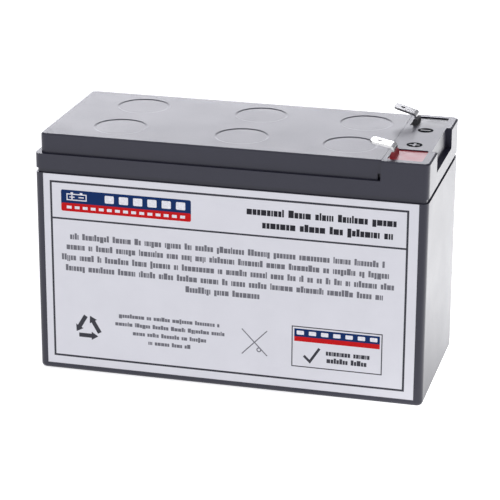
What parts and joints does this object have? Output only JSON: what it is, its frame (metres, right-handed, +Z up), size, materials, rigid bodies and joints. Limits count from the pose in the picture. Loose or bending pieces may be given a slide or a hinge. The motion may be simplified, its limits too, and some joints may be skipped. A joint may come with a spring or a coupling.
{
  "type": "ups battery cartridge block",
  "caption": "Sealed lead-acid battery block for a UPS cartridge: moulded case, glued lid, vent cover, front label and bent blade terminals in resin wells.",
  "frame": {"origin": "middle of the underside of the case", "axes": "+X along the length to the terminal end, -Y out of the labelled front, +Z up"},
  "size_m": [0.151, 0.065, 0.1011],
  "materials": {
    "case_plastic": "fine moulded grain",
    "label_film": "satin print",
    "tinned_tab": "tin plated",
    "red_resin": "cast",
    "black_resin": "cast",
    "lead": "cast lead",
    "valve_rubber": "moulded",
    "positive_paste": "pasted lead dioxide",
    "negative_paste": "pasted spongy lead",
    "glass_mat": "glass fibre mat"
  },
  "bodies": {
    "root": {"container": "case_plastic", "lid": "case_plastic", "vent_cover": "case_plastic", "front_label": "label_film", "positive_tab": "tinned_tab", "negative_tab": "tinned_tab", "positive_seal": "red_resin", "negative_seal": "black_resin", "positive_post": "lead", "negative_post": "lead", "positive_gasket": "valve_rubber", "negative_gasket": "valve_rubber", "valve_cap_1": "valve_rubber", "valve_cap_2": "valve_rubber", "valve_cap_3": "valve_rubber", "valve_cap_4": "valve_rubber", "valve_cap_5": "valve_rubber", "valve_cap_6": "valve_rubber", "positive_plates_1": "positive_paste", "positive_plates_2": "positive_paste", "positive_plates_3": "positive_paste", "positive_plates_4": "positive_paste", "positive_plates_5": "positive_paste", "positive_plates_6": "positive_paste", "negative_plates_1": "negative_paste", "negative_plates_2": "negative_paste", "negative_plates_3": "negative_paste", "negative_plates_4": "negative_paste", "negative_plates_5": "negative_paste", "negative_plates_6": "negative_paste", "separators_1": "glass_mat", "separators_2": "glass_mat", "separators_3": "glass_mat", "separators_4": "glass_mat", "separators_5": "glass_mat", "separators_6": "glass_mat", "positive_strap_1": "lead", "positive_strap_2": "lead", "positive_strap_3": "lead", "positive_strap_4": "lead", "positive_strap_5": "lead", "positive_strap_6": "lead", "negative_strap_1": "lead", "negative_strap_2": "lead", "negative_strap_3": "lead", "negative_strap_4": "lead", "negative_strap_5": "lead", "negative_strap_6": "lead"}
  },
  "joints": []
}
